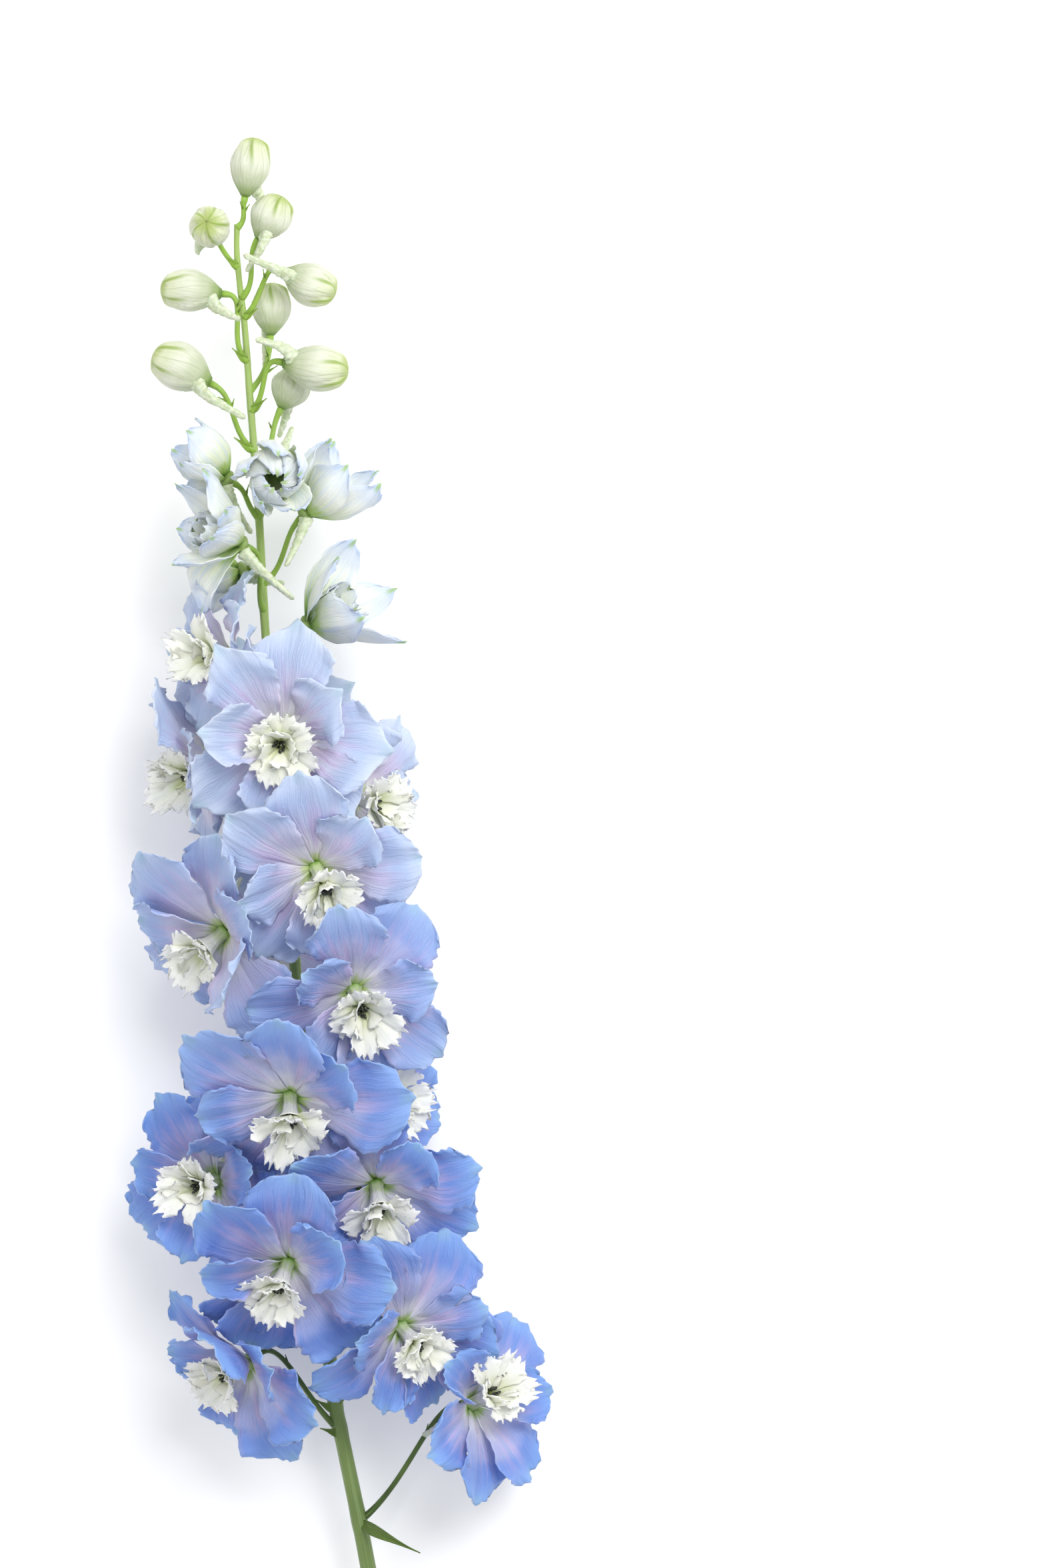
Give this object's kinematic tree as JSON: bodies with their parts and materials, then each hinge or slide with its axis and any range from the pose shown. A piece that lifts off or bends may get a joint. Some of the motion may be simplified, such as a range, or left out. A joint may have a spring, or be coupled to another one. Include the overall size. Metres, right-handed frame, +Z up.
{
  "type": "delphinium flower spike",
  "caption": "Cut delphinium flower spike lying on its back, with pale blue semi-double florets, opening flowers and green buds.",
  "frame": {"origin": "on the surface that the spike lies on, under the middle of its bounding box", "axes": "+Y along the spike from the cut end to the tip, +Z up from the surface, +X to the right seen from above with the tip away"},
  "size_m": [0.1272, 0.5195, 0.0908],
  "materials": {
    "petal_pale": "matte petal, pale lilac blue with fine veins",
    "petal_blue": "matte petal, sky blue with lilac streaks",
    "bee_white": "matte petal, ivory white",
    "bud_green": "matte, pale green-white",
    "stem_green": "satin, fresh green"
  },
  "bodies": {
    "root": {"stem": "stem_green", "bud_01": "bud_green", "bud_02": "bud_green", "bud_03": "bud_green", "bud_04": "bud_green", "bud_05": "bud_green", "bud_06": "bud_green", "bud_07": "bud_green", "bud_08": "bud_green", "bud_09": "bud_green", "opening_01": "petal_pale", "opening_02": "petal_pale", "opening_03": "petal_pale", "opening_04": "petal_pale", "opening_05": "petal_pale", "opening_06": "petal_pale", "floret_01_sepals": "petal_pale", "floret_01_bee": "bee_white", "floret_02_sepals": "petal_pale", "floret_02_bee": "bee_white", "floret_03_sepals": "petal_pale", "floret_03_bee": "bee_white", "floret_04_sepals": "petal_blue", "floret_04_bee": "bee_white", "floret_05_sepals": "petal_blue", "floret_05_bee": "bee_white", "floret_06_sepals": "petal_blue", "floret_06_bee": "bee_white", "floret_07_sepals": "petal_blue", "floret_07_bee": "bee_white", "floret_08_sepals": "petal_blue", "floret_08_bee": "bee_white", "floret_09_sepals": "petal_blue", "floret_09_bee": "bee_white", "floret_10_sepals": "petal_blue", "floret_10_bee": "bee_white", "floret_11_sepals": "petal_blue", "floret_11_bee": "bee_white", "floret_12_sepals": "petal_blue", "floret_12_bee": "bee_white", "floret_13_sepals": "petal_blue", "floret_13_bee": "bee_white", "floret_14_sepals": "petal_blue", "floret_14_bee": "bee_white", "floret_15_sepals": "petal_pale", "floret_15_bee": "bee_white", "floret_16_sepals": "petal_pale", "floret_16_bee": "bee_white", "floret_17_sepals": "petal_blue", "floret_17_bee": "bee_white", "floret_18_sepals": "petal_blue", "floret_18_bee": "bee_white", "floret_19_sepals": "petal_blue", "floret_19_bee": "bee_white", "floret_20_sepals": "petal_blue", "floret_20_bee": "bee_white", "floret_21_sepals": "petal_blue", "floret_21_bee": "bee_white"}
  },
  "joints": []
}
